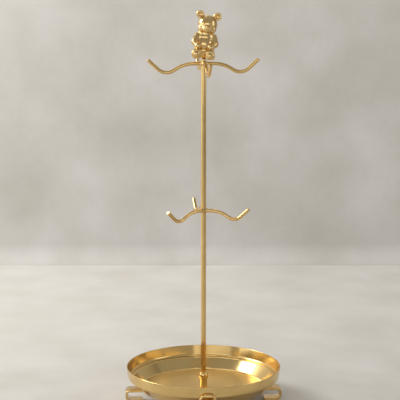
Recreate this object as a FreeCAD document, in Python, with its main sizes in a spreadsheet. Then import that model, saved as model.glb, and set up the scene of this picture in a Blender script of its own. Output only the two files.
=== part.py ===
"""Two-tier mug tree: stepped tray on strip feet, centre pole, hooks and a seated bear finial.

Millimetres.  The origin is on the table under the pole axis, +Z runs up the pole, -Y faces the user.
Every driving dimension is a named cell of the sheet, and each piece is bound to those cells.
"""
import FreeCAD, Part
import Sketcher
import math
import os

DOC = FreeCAD.newDocument("mug_tree")
SHEET = DOC.addObject("Spreadsheet::Sheet", "sizes")
UP = FreeCAD.Vector(0, 0, 1)
ACROSS = FreeCAD.Vector(1, 0, 0)
BACK = FreeCAD.Vector(0, 1, 0)
PIECES = []


# --- sizes -----------------------------------------------------------------------------------

class Size:
    """A number together with the sheet expression that gives it."""

    def __init__(self, value, text=None):
        self.value = float(value)
        self.text = text if text is not None else "%.6g" % value

    def __add__(self, other):
        other = as_size(other)
        return Size(self.value + other.value, "(%s + %s)" % (self.text, other.text))

    def __sub__(self, other):
        other = as_size(other)
        return Size(self.value - other.value, "(%s - %s)" % (self.text, other.text))

    def __mul__(self, other):
        other = as_size(other)
        return Size(self.value * other.value, "(%s * %s)" % (self.text, other.text))

    def __truediv__(self, other):
        other = as_size(other)
        return Size(self.value / other.value, "(%s / %s)" % (self.text, other.text))

    def __neg__(self):
        return Size(-self.value, "(-%s)" % self.text)


def as_size(value):
    return value if isinstance(value, Size) else Size(value)


def root(size):
    return Size(math.sqrt(size.value), "sqrt(%s)" % size.text)


def sine(size):
    return Size(math.sin(math.radians(size.value)), "sin(%s)" % size.text)


def cosine(size):
    return Size(math.cos(math.radians(size.value)), "cos(%s)" % size.text)


def cell(alias, value):
    """Put one driving dimension in the sheet and return it as a Size."""
    row = cell.next_row
    cell.next_row += 1
    SHEET.set("A%d" % row, alias)
    SHEET.set("B%d" % row, str(value))
    SHEET.setAlias("B%d" % row, alias)
    return Size(value, "sizes.%s" % alias)


cell.next_row = 1

# Tray
tray_radius = cell("tray_radius", 89)
rim_height = cell("rim_height", 42)
tray_depth = cell("tray_depth", 25)
band_height = cell("band_height", 12.6)
band_taper = cell("band_taper", 1.8)
ledge_width = cell("ledge_width", 5)
floor_radius = cell("floor_radius", 71)
sheet_metal = cell("sheet_metal", 1.2)
band_round = cell("band_round", 2.6)
ledge_round = cell("ledge_round", 2.6)
floor_round = cell("floor_round", 4)

# Feet
foot_overhang = cell("foot_overhang", 1.5)
foot_width = cell("foot_width", 18)
foot_strip = cell("foot_strip", 2.4)
foot_top_bend = cell("foot_top_bend", 5)
foot_low_bend = cell("foot_low_bend", 7.5)
foot_weld = cell("foot_weld", 11.5)
foot_low_leg = cell("foot_low_leg", 20)
foot_pad_radius = cell("foot_pad_radius", 5.5)
foot_pad_height = cell("foot_pad_height", 1)
stance_angle = cell("stance_angle", 3)

# Pole and its seat
pole_radius = cell("pole_radius", 3)
pole_top = cell("pole_top", 397)
spigot_radius = cell("spigot_radius", 2)
spigot_drop = cell("spigot_drop", 8.5)
sleeve_radius = cell("sleeve_radius", 4.3)
bead_radius = cell("bead_radius", 5.6)
bead_height = cell("bead_height", 8)
ferrule_height = cell("ferrule_height", 17)
running_gap = cell("running_gap", 0.05)
end_gap = cell("end_gap", 0.3)
washer_radius = cell("washer_radius", 7)
washer_height = cell("washer_height", 1)
lock_washer_radius = cell("lock_washer_radius", 3.8)
lock_washer_height = cell("lock_washer_height", 1.1)
lock_washer_slit = cell("lock_washer_slit", 0.8)
nut_across_flats = cell("nut_across_flats", 7)
nut_height = cell("nut_height", 3.2)

# Hooks
arm_radius = cell("arm_radius", 2.1)
arm_end_round = cell("arm_end_round", 0.5)
dip_angle = cell("dip_angle", 35)
rise_angle = cell("rise_angle", 43)
upper_drop = cell("upper_drop", 5)
upper_run = cell("upper_run", 11)
upper_shoulder = cell("upper_shoulder", 38)
upper_valley = cell("upper_valley", 15)
upper_stub = cell("upper_stub", 15)
upper_start = cell("upper_start", 7)
lower_level = cell("lower_level", 225)
lower_run = cell("lower_run", 10)
lower_shoulder = cell("lower_shoulder", 33)
lower_valley = cell("lower_valley", 12)
lower_stub = cell("lower_stub", 13)
lower_start = cell("lower_start", -17.8)

# Finial
stud_length = cell("stud_length", 18)
stud_sink = cell("stud_sink", 8)
bear_height = cell("bear_height", 54)
bear_tilt = cell("bear_tilt", 8.5)
bear_shift = cell("bear_shift", -1.2)
haunch_radius = cell("haunch_radius", 12)
torso_radius = cell("torso_radius", 10.5)
head_radius = cell("head_radius", 11)
ear_radius = cell("ear_radius", 4.8)
ear_rim = cell("ear_rim", 1.3)
arm_lean = cell("arm_lean", 40)
muzzle_radius = cell("muzzle_radius", 4.8)
limb_radius = cell("limb_radius", 4.4)
sole_radius = cell("sole_radius", 5.4)
leg_reach = cell("leg_reach", 17)

# Front ring
ring_radius = cell("ring_radius", 8.6)
ring_wire = cell("ring_wire", 1.5)
ring_bend = cell("ring_bend", 3)
ring_pin_rise = cell("ring_pin_rise", 7)
ring_drop = cell("ring_drop", 8.8)
ring_overhang = cell("ring_overhang", 3)
lug_radius = cell("lug_radius", 2.3)
lug_width = cell("lug_width", 7)

DOC.recompute()

# Heights and reaches that several pieces share
floor_level = rim_height - tray_depth
pan_bottom = floor_level - sheet_metal
bear_level = pole_top + end_gap
upper_level = pole_top - upper_drop
ring_level = rim_height - ring_drop
foot_reach = tray_radius + foot_overhang
foot_start = floor_radius - foot_weld


# --- helpers ---------------------------------------------------------------------------------

def keep(piece, label):
    """Give a finished piece its label and put it on the list of pieces to write."""
    piece.Label = label
    PIECES.append(piece)
    return piece


def bind(thing, **sizes):
    """Bind an object's own properties to the sheet."""
    for name, size in sizes.items():
        size = as_size(size)
        setattr(thing, name, size.value)
        thing.setExpression(name, size.text)


def put(thing, x=0, y=0, z=0):
    """Bind an object's position to the sheet."""
    for axis, size in (("x", x), ("y", y), ("z", z)):
        thing.setExpression("Placement.Base." + axis, as_size(size).text)


def turn(thing, angle, axis=UP):
    """Bind an object's turn about one axis through the origin to the sheet."""
    thing.Placement = FreeCAD.Placement(thing.Placement.Base, FreeCAD.Rotation(axis, angle.value))
    thing.setExpression("Placement.Rotation.Angle", angle.text)


def plane_of(body, role):
    return next(item for item in body.Origin.OriginFeatures if item.Role == role)


def sketch_on(body, role, name, offset=None):
    sketch = body.newObject("Sketcher::SketchObject", name)
    sketch.AttachmentSupport = [(plane_of(body, role), "")]
    sketch.MapMode = "FlatFace"
    if offset is not None:
        sketch.setExpression("AttachmentOffset.Base.z", offset.text)
    return sketch


def vector(point):
    return FreeCAD.Vector(as_size(point[0]).value, as_size(point[1]).value, 0)


def pin_point(sketch, geometry, end, point):
    """Hold one sketch point at (x, y), measured from the sketch's origin."""
    for kind, coordinate, axis in (("DistanceX", point[0], -2), ("DistanceY", point[1], -1)):
        size = as_size(coordinate)
        if abs(size.value) < 1e-9:
            sketch.addConstraint(Sketcher.Constraint("PointOnObject", geometry, end, axis))
            continue
        ends = (-1, 1, geometry, end)
        if size.value < 0:
            ends = (geometry, end, -1, 1)
            size = -size
        index = sketch.addConstraint(Sketcher.Constraint(kind, *ends, size.value))
        sketch.setExpression("Constraints[%d]" % index, size.text)


def arc_between(begin, end, centre, turns_left):
    """Part arc about a centre; arcs always run counter-clockwise, whichever way the chain goes."""
    middle = vector(centre)
    first, last = vector(begin) - middle, vector(end) - middle
    if not turns_left:
        first, last = last, first
    circle = Part.Circle(middle, UP, first.Length)
    return Part.ArcOfCircle(circle, math.atan2(first.y, first.x), math.atan2(last.y, last.x))


def draw(sketch, start, steps, closed=True):
    """Draw a chain of steps: (end,) is a line and (end, centre, radius, turns_left) is an arc."""
    begin = start
    previous = None
    opening = None
    for step in steps:
        end = step[0]
        starts, ends = 1, 2
        if len(step) == 1:
            index = sketch.addGeometry(Part.LineSegment(vector(begin), vector(end)), False)
        else:
            index = sketch.addGeometry(arc_between(begin, end, step[1], step[3]), False)
            starts, ends = (1, 2) if step[3] else (2, 1)
            rule = sketch.addConstraint(Sketcher.Constraint("Radius", index, step[2].value))
            sketch.setExpression("Constraints[%d]" % rule, step[2].text)
        pin_point(sketch, index, starts, begin)
        if previous is not None:
            sketch.addConstraint(Sketcher.Constraint("Coincident", *previous, index, starts))
        opening = opening or (index, starts)
        previous = (index, ends)
        begin = end
    if closed:
        sketch.addConstraint(Sketcher.Constraint("Coincident", *previous, *opening))
    else:
        pin_point(sketch, *previous, begin)


def draw_circle(sketch, centre, radius):
    index = sketch.addGeometry(Part.Circle(vector(centre), UP, radius.value), False)
    pin_point(sketch, index, 3, centre)
    rule = sketch.addConstraint(Sketcher.Constraint("Radius", index, radius.value))
    sketch.setExpression("Constraints[%d]" % rule, radius.text)


def revolve(body, sketch):
    """Turn an XZ profile once round the body's upright axis."""
    feature = body.newObject("PartDesign::Revolution", sketch.Name + "_turned")
    feature.Profile = sketch
    feature.ReferenceAxis = (sketch, ["V_Axis"])
    feature.Angle = 360
    sketch.Visibility = False
    return feature


def round_edges(body, base, name, radius, spots):
    """Fillet the circular edges of a turned piece that lie at the given (radius, height) spots."""
    DOC.recompute()
    chosen = []
    for number, edge in enumerate(base.Shape.Edges, 1):
        if not isinstance(edge.Curve, Part.Circle):
            continue
        for spot in spots:
            near = vector((edge.Curve.Radius, edge.Curve.Center.z)) - vector(spot)
            if near.Length < 0.01:
                chosen.append("Edge%d" % number)
    if len(chosen) != len(spots):
        raise RuntimeError("%s: found %d of %d edges" % (name, len(chosen), len(spots)))
    fillet = body.newObject("PartDesign::Fillet", name)
    fillet.Base = (base, chosen)
    bind(fillet, Radius=radius)
    body.Tip = fillet
    return fillet


# --- tray ------------------------------------------------------------------------------------

def make_tray():
    """Spun pan: band, ledge, sloping wall and floor, all one thickness of sheet."""
    body = DOC.addObject("PartDesign::Body", "tray_body")
    ledge_level = rim_height - band_height
    band_foot = tray_radius - band_taper
    band_inside = band_foot - sheet_metal
    ledge_inside = band_inside - ledge_width
    hole = spigot_radius + running_gap
    run = ledge_inside - floor_radius
    rise = ledge_level - floor_level
    miter = sheet_metal * (root(run * run + rise * rise) - run) / rise
    sketch = sketch_on(body, "XZ_Plane", "tray_profile")
    draw(sketch, (hole, pan_bottom), [
        ((floor_radius + miter, pan_bottom),),
        ((ledge_inside + miter, ledge_level - sheet_metal),),
        ((band_foot, ledge_level - sheet_metal),),
        ((tray_radius, rim_height),),
        ((tray_radius - sheet_metal, rim_height),),
        ((band_inside, ledge_level),),
        ((ledge_inside, ledge_level),),
        ((floor_radius, floor_level),),
        ((hole, floor_level),),
        ((hole, pan_bottom),),
    ])
    pan = revolve(body, sketch)
    under_ledge = ledge_level - sheet_metal
    pan = round_edges(body, pan, "floor_inside", floor_round, [(floor_radius, floor_level)])
    pan = round_edges(body, pan, "floor_outside", floor_round + sheet_metal,
                      [(floor_radius + miter, pan_bottom)])
    pan = round_edges(body, pan, "ledge_top", ledge_round + sheet_metal,
                      [(ledge_inside, ledge_level)])
    pan = round_edges(body, pan, "ledge_under", ledge_round, [(ledge_inside + miter, under_ledge)])
    pan = round_edges(body, pan, "band_inside", band_round, [(band_inside, ledge_level)])
    pan = round_edges(body, pan, "band_outside", band_round + sheet_metal,
                      [(band_foot, under_ledge)])
    round_edges(body, pan, "rim_edges", sheet_metal * 0.4,
                [(tray_radius, rim_height), (tray_radius - sheet_metal, rim_height)])
    keep(body, "tray")


# --- feet ------------------------------------------------------------------------------------

def make_foot(side, azimuth):
    """Flat strip bent to a C: the top leg lies under the pan, the low leg stands on its pad."""
    body = DOC.addObject("PartDesign::Body", "foot_body_" + side)
    top_inner = foot_top_bend - foot_strip
    low_inner = foot_low_bend - foot_strip
    top_bend_x = foot_reach - foot_top_bend
    low_bend_x = foot_reach - foot_low_bend
    top_bend_z = pan_bottom - foot_top_bend
    low_bend_z = foot_pad_height + foot_low_bend
    top_centre = (top_bend_x, top_bend_z)
    low_centre = (low_bend_x, low_bend_z)
    inner_x = foot_reach - foot_strip
    sketch = sketch_on(body, "XZ_Plane", "foot_profile_" + side)
    draw(sketch, (foot_start, pan_bottom), [
        ((top_bend_x, pan_bottom),),
        ((foot_reach, top_bend_z), top_centre, foot_top_bend, False),
        ((foot_reach, low_bend_z),),
        ((low_bend_x, foot_pad_height), low_centre, foot_low_bend, False),
        ((foot_reach - foot_low_leg, foot_pad_height),),
        ((foot_reach - foot_low_leg, foot_pad_height + foot_strip),),
        ((low_bend_x, foot_pad_height + foot_strip),),
        ((inner_x, low_bend_z), low_centre, low_inner, True),
        ((inner_x, top_bend_z),),
        ((top_bend_x, pan_bottom - foot_strip), top_centre, top_inner, True),
        ((foot_start, pan_bottom - foot_strip),),
        ((foot_start, pan_bottom),),
    ])
    strip = body.newObject("PartDesign::Pad", "foot_strip_" + side)
    strip.Profile = sketch
    strip.SideType = "Symmetric"
    bind(strip, Length=foot_width)
    sketch.Visibility = False
    turn(body, azimuth)
    keep(body, "foot_" + side)


def make_foot_pad(side, azimuth):
    """Thin non-slip disc under the middle of the low leg's flat."""
    pad = DOC.addObject("Part::Cylinder", "pad_disc_" + side)
    bind(pad, Radius=foot_pad_radius, Height=foot_pad_height)
    out = foot_reach - (foot_low_leg + foot_low_bend) / 2
    put(pad, x=out * cosine(azimuth), y=out * sine(azimuth))
    keep(pad, "foot_pad_" + side)


# --- pole and what holds it ------------------------------------------------------------------

def make_ferrule():
    """Turned sleeve with a round bead on top; the pole turns in its bore."""
    body = DOC.addObject("PartDesign::Body", "ferrule_body")
    bore = pole_radius + running_gap
    top = floor_level + ferrule_height
    half = bead_height / 2
    bulge = bead_radius - sleeve_radius
    round_radius = (half * half + bulge * bulge) / (bulge * 2)
    centre = (bead_radius - round_radius, top - half)
    sketch = sketch_on(body, "XZ_Plane", "ferrule_profile")
    draw(sketch, (bore, floor_level), [
        ((sleeve_radius, floor_level),),
        ((sleeve_radius, top - bead_height),),
        ((sleeve_radius, top), centre, round_radius, True),
        ((bore, top),),
        ((bore, floor_level),),
    ])
    revolve(body, sketch)
    keep(body, "pole_ferrule")


def make_washer():
    """Plain washer that turns with the pole just under the pan."""
    level = pan_bottom - end_gap - washer_height
    disc = DOC.addObject("Part::Cylinder", "washer_disc")
    bind(disc, Radius=washer_radius, Height=washer_height)
    put(disc, z=level)
    keep(bored(disc, "washer_ring", spigot_radius, level, washer_height), "base_washer")


def bored(solid, name, radius, level, depth):
    """Cut an upright bore on the pole axis through a solid."""
    drill = DOC.addObject("Part::Cylinder", name + "_drill")
    bind(drill, Radius=radius, Height=depth)
    put(drill, z=level)
    cut = DOC.addObject("Part::Cut", name)
    cut.Base = solid
    cut.Tool = drill
    return cut


def make_lock_washer():
    """Split spring washer between the plain washer and the nut."""
    level = pan_bottom - end_gap - washer_height - lock_washer_height
    disc = DOC.addObject("Part::Cylinder", "lock_washer_disc")
    bind(disc, Radius=lock_washer_radius, Height=lock_washer_height)
    put(disc, z=level)
    ring = bored(disc, "lock_washer_ring", spigot_radius, level, lock_washer_height)
    slit = DOC.addObject("Part::Box", "lock_washer_gap")
    bind(slit, Length=lock_washer_radius * 2, Width=lock_washer_slit, Height=lock_washer_height)
    put(slit, y=-lock_washer_slit / 2, z=level)
    split = DOC.addObject("Part::Cut", "lock_washer_split")
    split.Base = ring
    split.Tool = slit
    keep(split, "base_lock_washer")


def make_nut():
    """Hexagon nut with its corners turned away, as on a bought nut."""
    level = pan_bottom - end_gap - washer_height - lock_washer_height - nut_height
    corner = nut_across_flats / 2 / cosine(Size(30))
    prism = DOC.addObject("Part::Prism", "nut_hexagon")
    prism.Polygon = 6
    bind(prism, Circumradius=corner, Height=nut_height)
    put(prism, z=level)
    ball = DOC.addObject("Part::Sphere", "nut_corner_ball")
    turned = nut_across_flats / 2
    bind(ball, Radius=root(turned * turned + nut_height * nut_height / 4))
    put(ball, z=level + nut_height / 2)
    common = DOC.addObject("Part::MultiCommon", "nut_turned")
    common.Shapes = [prism, ball]
    keep(bored(common, "nut_bored", spigot_radius, level, nut_height), "base_nut")


def make_pole():
    """Round rod: threaded spigot below its shoulder, tapped hole in its top."""
    body = DOC.addObject("PartDesign::Body", "pole_body")
    shoulder = floor_level + end_gap
    spigot_end = shoulder - spigot_drop
    hole_bottom = pole_top - stud_sink
    sketch = sketch_on(body, "XZ_Plane", "pole_profile")
    draw(sketch, (0, spigot_end), [
        ((spigot_radius, spigot_end),),
        ((spigot_radius, shoulder),),
        ((pole_radius, shoulder),),
        ((pole_radius, pole_top),),
        ((spigot_radius, pole_top),),
        ((spigot_radius, hole_bottom),),
        ((0, hole_bottom),),
        ((0, spigot_end),),
    ])
    revolve(body, sketch)
    keep(body, "pole")


def make_stud():
    """Threaded stud, half in the pole and half in the finial."""
    stud = DOC.addObject("Part::Cylinder", "stud_rod")
    bind(stud, Radius=spigot_radius, Height=stud_length)
    put(stud, z=pole_top - stud_sink)
    keep(stud, "finial_stud")


# --- hooks -----------------------------------------------------------------------------------

def make_arm(label, azimuth, level, run, shoulder, valley, stub):
    """Round rod that leaves the pole level, dips, turns up through a valley and ends in a stub."""
    body = DOC.addObject("PartDesign::Body", label + "_body")
    dip_run, dip_drop = sine(dip_angle), cosine(dip_angle)
    rise_run, rise_lift = cosine(rise_angle), sine(rise_angle)
    dip_x = run + shoulder * dip_run
    dip_z = level - shoulder + shoulder * dip_drop
    valley_x = dip_x + valley * dip_run
    valley_z = dip_z + valley * dip_drop
    rise_x = valley_x + valley * rise_lift
    rise_z = valley_z - valley * rise_run
    path = sketch_on(body, "XZ_Plane", label + "_path")
    draw(path, (0, level), [
        ((run, level),),
        ((dip_x, dip_z), (run, level - shoulder), shoulder, False),
        ((rise_x, rise_z), (valley_x, valley_z), valley, True),
        ((rise_x + stub * rise_run, rise_z + stub * rise_lift),),
    ], closed=False)
    section = sketch_on(body, "YZ_Plane", label + "_section")
    draw_circle(section, (0, level), arm_radius)
    DOC.recompute()
    rod = body.newObject("PartDesign::AdditivePipe", label + "_rod")
    rod.Profile = section
    rod.Spine = (path, ["Edge%d" % number for number in (1, 2, 3, 4)])
    cope = body.newObject("PartDesign::SubtractiveCylinder", label + "_cope")
    bind(cope, Radius=pole_radius, Height=arm_radius * 4)
    put(cope, z=level - arm_radius * 2)
    DOC.recompute()
    tip = vector((rise_x + stub * rise_run, rise_z + stub * rise_lift))
    tip = FreeCAD.Vector(tip.x, 0, tip.y)
    end_edges = ["Edge%d" % number for number, edge in enumerate(cope.Shape.Edges, 1)
                 if isinstance(edge.Curve, Part.Circle) and (edge.Curve.Center - tip).Length < 0.01]
    soften = body.newObject("PartDesign::Fillet", label + "_end")
    soften.Base = (cope, end_edges)
    bind(soften, Radius=arm_end_round)
    body.Tip = soften
    turn(body, azimuth)
    keep(body, label)


# --- finial ----------------------------------------------------------------------------------

def ball(name, centre, radius):
    """One round lump of the bear."""
    lump = DOC.addObject("Part::Sphere", "bear_" + name)
    bind(lump, Radius=radius)
    put(lump, *centre)
    return lump


def limb(name, base, length, radius, lean):
    """A round bar that leans back from its base by an angle, with a fuller ball at each end."""
    bar = DOC.addObject("Part::Cylinder", "bear_" + name)
    bind(bar, Radius=radius, Height=length)
    turn(bar, -lean, ACROSS)
    put(bar, *base)
    far = (base[0], base[1] + length * sine(lean), base[2] + length * cosine(lean))
    full = radius * 1.05
    return [bar, ball(name + "_near", base, full), ball(name + "_far", far, full)]


def make_bear():
    """Seated teddy bear, legs forward and paws on its belly, leaning a little to one side."""
    ear_z = bear_height - ear_radius
    head_z = ear_z - head_radius * 0.88
    torso_z = haunch_radius * 0.8 + torso_radius
    muzzle_z = head_z - head_radius * 0.26
    face = -head_radius * 0.82
    lumps = [
        ball("haunches", (0, 0.5, haunch_radius * 0.86), haunch_radius),
        ball("belly", (0, 0, torso_z * 0.86), torso_radius * 1.02),
        ball("chest", (0, 0.5, torso_z * 1.22), torso_radius * 0.84),
        ball("head", (0, -1, head_z), head_radius * 0.97),
        ball("muzzle", (0, face, muzzle_z), muzzle_radius),
        ball("nose", (0, face - muzzle_radius * 0.86, muzzle_z + muzzle_radius * 0.3),
             muzzle_radius * 0.3),
    ]
    for side, sign in (("left", -1), ("right", 1)):
        hoop = DOC.addObject("Part::Torus", "bear_ear_rim_" + side)
        bind(hoop, Radius1=ear_radius - ear_rim, Radius2=ear_rim)
        disc = DOC.addObject("Part::Cylinder", "bear_ear_" + side)
        bind(disc, Radius=ear_radius - ear_rim, Height=ear_rim)
        for shape in (hoop, disc):
            shape.Placement.Rotation = FreeCAD.Rotation(ACROSS, 90)
            put(shape, x=head_radius * 0.9 * sign, z=ear_z)
        lumps += [hoop, disc]
        lumps += limb("arm_" + side, (torso_radius * 0.92 * sign, -torso_radius * 0.84, torso_z * 0.8),
                      torso_z * 0.46, limb_radius * 0.9, arm_lean)
        lumps += limb("leg_" + side, (sole_radius * 1.42 * sign, -leg_reach * 0.72, limb_radius * 1.2),
                      leg_reach * 0.6, limb_radius, Size(90))
        sole = DOC.addObject("Part::Cylinder", "bear_sole_" + side)
        bind(sole, Radius=sole_radius, Height=leg_reach * 0.2)
        sole.Placement.Rotation = FreeCAD.Rotation(ACROSS, 90)
        put(sole, x=sole_radius * 1.46 * sign, y=-leg_reach * 0.8, z=sole_radius)
        lumps.append(sole)
    figure = DOC.addObject("Part::MultiFuse", "bear_figure")
    figure.Shapes = lumps
    turn(figure, bear_tilt, BACK)
    put(figure, x=bear_shift, z=bear_level)
    room = DOC.addObject("Part::Box", "bear_room")
    bind(room, Length=bear_height * 2, Width=bear_height * 2, Height=bear_height * 2)
    put(room, x=-bear_height, y=-bear_height, z=bear_level)
    seated = DOC.addObject("Part::MultiCommon", "bear_seated")
    seated.Shapes = [figure, room]
    depth = stud_length - stud_sink
    bear = bored(seated, "bear_bored", spigot_radius + running_gap, bear_level, depth)
    keep(bear, "bear_finial")


# --- front ring ------------------------------------------------------------------------------

ring_place = tray_radius + ring_overhang - lug_radius
front_azimuth = stance_angle - 90


def make_lug():
    """Short barrel brazed along the lower edge of the band; the ring's pin turns in it."""
    barrel = DOC.addObject("Part::Cylinder", "lug_barrel")
    drill = DOC.addObject("Part::Cylinder", "lug_drill")
    for cylinder, radius in ((barrel, lug_radius), (drill, ring_wire + running_gap)):
        bind(cylinder, Radius=radius, Height=lug_width)
        cylinder.Placement.Rotation = FreeCAD.Rotation(ACROSS, 90)
        put(cylinder, x=ring_place, y=lug_width / 2, z=ring_level)
    lug = DOC.addObject("Part::Cut", "lug_bored")
    lug.Base = barrel
    lug.Tool = drill
    turn(lug, front_azimuth)
    keep(lug, "ring_lug")


def make_ring():
    """Wire ring with a straight pin along its top, hanging in the lug."""
    body = DOC.addObject("PartDesign::Body", "ring_body")
    middle = ring_level - ring_pin_rise
    bend_z = ring_pin_rise - ring_bend
    bend_reach = ring_radius - ring_bend
    pin_half = root(bend_reach * bend_reach - bend_z * bend_z)
    side_y = pin_half * ring_radius / bend_reach
    side_z = middle + bend_z * ring_radius / bend_reach
    centre = (0, middle)
    path = sketch_on(body, "YZ_Plane", "ring_path", offset=ring_place)
    draw(path, (0, ring_level), [
        ((pin_half, ring_level),),
        ((side_y, side_z), (pin_half, middle + bend_z), ring_bend, False),
        ((0, middle - ring_radius), centre, ring_radius, False),
        ((-side_y, side_z), centre, ring_radius, False),
        ((-pin_half, ring_level), (-pin_half, middle + bend_z), ring_bend, False),
        ((0, ring_level),),
    ])
    section = sketch_on(body, "XZ_Plane", "ring_section")
    draw_circle(section, (ring_place, ring_level), ring_wire)
    DOC.recompute()
    wire = body.newObject("PartDesign::AdditivePipe", "ring_wire_swept")
    wire.Profile = section
    wire.Spine = (path, ["Edge%d" % number for number in range(1, 7)])
    turn(body, front_azimuth)
    keep(body, "pull_ring")


# --- the whole tree --------------------------------------------------------------------------

make_tray()
for quarter, side in enumerate(("front", "right", "back", "left")):
    azimuth = stance_angle + 90 * (quarter - 1)
    make_foot(side, azimuth)
    make_foot_pad(side, azimuth)
make_ferrule()
make_washer()
make_lock_washer()
make_nut()
make_pole()
make_stud()
for quarter, side in enumerate(("right", "back", "left", "front")):
    make_arm("arm_upper_" + side, upper_start + 90 * quarter, upper_level,
             upper_run, upper_shoulder, upper_valley, upper_stub)
for third, side in enumerate(("right", "back", "left")):
    make_arm("arm_lower_" + side, lower_start + 120 * third, lower_level,
             lower_run, lower_shoulder, lower_valley, lower_stub)
make_bear()
make_lug()
make_ring()
DOC.recompute()

for item in DOC.Objects:
    if "Invalid" in item.State or "Error" in item.State:
        raise RuntimeError("%s failed: %s" % (item.Name, item.State))
for piece in PIECES:
    if piece.Shape.isNull() or not piece.Shape.isValid() or not piece.Shape.Solids:
        raise RuntimeError(piece.Label + " has no valid solid")

os.makedirs("parts", exist_ok=True)
for piece in PIECES:
    piece.Shape.exportStep("parts/%s.step" % piece.Label)
    box = piece.Shape.BoundBox
    print("%-20s %2d solid(s) %9.1f mm3  z %.1f to %.1f"
          % (piece.Label, len(piece.Shape.Solids), piece.Shape.Volume, box.ZMin, box.ZMax))
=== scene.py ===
# %% [markdown]
# # A two-tier mug tree in polished brass plate
# The stand is a spun tray on bent-strip feet, a thin pole, two tiers of bent hooks and a cast bear.
# A mechanical model already fixes where every piece sits and how it turns, so this lesson only gives
# those pieces their finished surfaces.  Everything below is in metres, in the model's own frame.

# %% Load the fixed frame
import math

import bmesh
import bpy
from mathutils import Matrix, Vector


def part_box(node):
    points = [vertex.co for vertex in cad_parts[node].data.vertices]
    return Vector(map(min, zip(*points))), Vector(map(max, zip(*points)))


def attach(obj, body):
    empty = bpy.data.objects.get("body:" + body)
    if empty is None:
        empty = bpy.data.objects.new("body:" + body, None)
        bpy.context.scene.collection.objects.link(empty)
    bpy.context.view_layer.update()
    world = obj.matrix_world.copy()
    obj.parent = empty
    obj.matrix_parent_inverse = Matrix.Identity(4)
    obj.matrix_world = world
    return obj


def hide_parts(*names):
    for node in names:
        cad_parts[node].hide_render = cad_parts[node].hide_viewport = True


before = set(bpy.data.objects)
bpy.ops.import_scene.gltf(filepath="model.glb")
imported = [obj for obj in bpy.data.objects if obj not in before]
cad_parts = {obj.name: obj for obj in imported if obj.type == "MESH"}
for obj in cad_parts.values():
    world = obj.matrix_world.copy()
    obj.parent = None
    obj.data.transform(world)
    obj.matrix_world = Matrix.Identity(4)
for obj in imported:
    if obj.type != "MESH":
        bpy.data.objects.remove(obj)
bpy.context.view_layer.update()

MM = 0.001

# %% [markdown]
# Node trees are long to write by hand, so one small function adds a node, its settings and its
# links.  Colours are kept as the hex values a painter would quote, and one function turns them into
# the linear numbers that the renderer works in.

# %% Node and colour helpers
def add(tree, kind, settings=None, sockets=None):
    """Add a node; a socket value may be a plain value or another node's output."""
    node = tree.nodes.new(kind)
    for name, value in (settings or {}).items():
        setattr(node, name, value)
    for name, value in (sockets or {}).items():
        if isinstance(value, bpy.types.NodeSocket):
            tree.links.new(value, node.inputs[name])
        else:
            node.inputs[name].default_value = value
    return node


def linear(hex_code):
    """Turn an sRGB hex colour such as E3C07E into linear red, green, blue and alpha."""
    parts = [int(hex_code[i:i + 2], 16) / 255 for i in (0, 2, 4)]
    return tuple(c / 12.92 if c <= 0.04045 else ((c + 0.055) / 1.055) ** 2.4 for c in parts) + (1.0,)


print("brass plate in linear light:", [round(c, 3) for c in linear("E3C07E")])

# %% [markdown]
# ## The metal
# Brass plate is a soft yellow metal laid thinly over steel and polished.  To the eye it is a tinted
# mirror: its colour comes only from what it reflects.  Three things stop it looking like plastic
# foil: a slight drift in tone, a polish that is a little uneven, and very fine marks left by the
# tool.  All three are noise textures scaled from real millimetres.

# %% Polished metal finishes
def metal(name, light, dark, roughness, spread, patch_mm, mark_mm, mark_depth_mm, satin_radius=0.0):
    """A polished metal: tone drifts over patch_mm, polish marks lie mark_mm apart.

    With satin_radius the marks are lathe rings, and the middle inside that radius is left satin.
    """
    material = bpy.data.materials.new(name)
    material.use_nodes = True
    tree = material.node_tree
    tree.nodes.clear()
    place = add(tree, "ShaderNodeTexCoord").outputs["Object"]
    patches = add(tree, "ShaderNodeTexNoise", None,
                  {"Vector": place, "Scale": 1 / (patch_mm * MM), "Detail": 3.0, "Roughness": 0.55})
    tone = add(tree, "ShaderNodeMix", {"data_type": "RGBA"},
               {0: patches.outputs["Fac"], 6: linear(dark), 7: linear(light)})
    polish = add(tree, "ShaderNodeMapRange", None,
                 {"Value": patches.outputs["Fac"], "From Min": 0.3, "From Max": 0.7,
                  "To Min": roughness - spread, "To Max": roughness + spread}).outputs["Result"]
    mark_place = place
    if satin_radius:
        flat = add(tree, "ShaderNodeVectorMath", {"operation": "MULTIPLY"}, {0: place, 1: (1, 1, 0)})
        radius = add(tree, "ShaderNodeVectorMath", {"operation": "LENGTH"}, {0: flat.outputs["Vector"]})
        mark_place = add(tree, "ShaderNodeCombineXYZ", None, {"X": radius.outputs["Value"]}).outputs[0]
        satin = add(tree, "ShaderNodeMapRange", None,
                    {"Value": radius.outputs["Value"], "From Min": satin_radius,
                     "From Max": satin_radius - 1.5 * MM, "To Min": 0.0, "To Max": 0.24})
        polish = add(tree, "ShaderNodeMath", {"operation": "ADD"},
                     {0: polish, 1: satin.outputs["Result"]}).outputs["Value"]
    marks = add(tree, "ShaderNodeTexNoise", None,
                {"Vector": mark_place, "Scale": 1 / (mark_mm * MM), "Detail": 4.0, "Roughness": 0.6})
    bump = add(tree, "ShaderNodeBump", None,
               {"Height": marks.outputs["Fac"], "Strength": 0.5, "Distance": mark_depth_mm * MM})
    surface = add(tree, "ShaderNodeBsdfPrincipled", None,
                  {"Base Color": tone.outputs["Result"], "Roughness": polish,
                   "Metallic": 1.0, "Normal": bump.outputs["Normal"]})
    add(tree, "ShaderNodeOutputMaterial", None, {"Surface": surface.outputs["BSDF"]})
    return material


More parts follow.
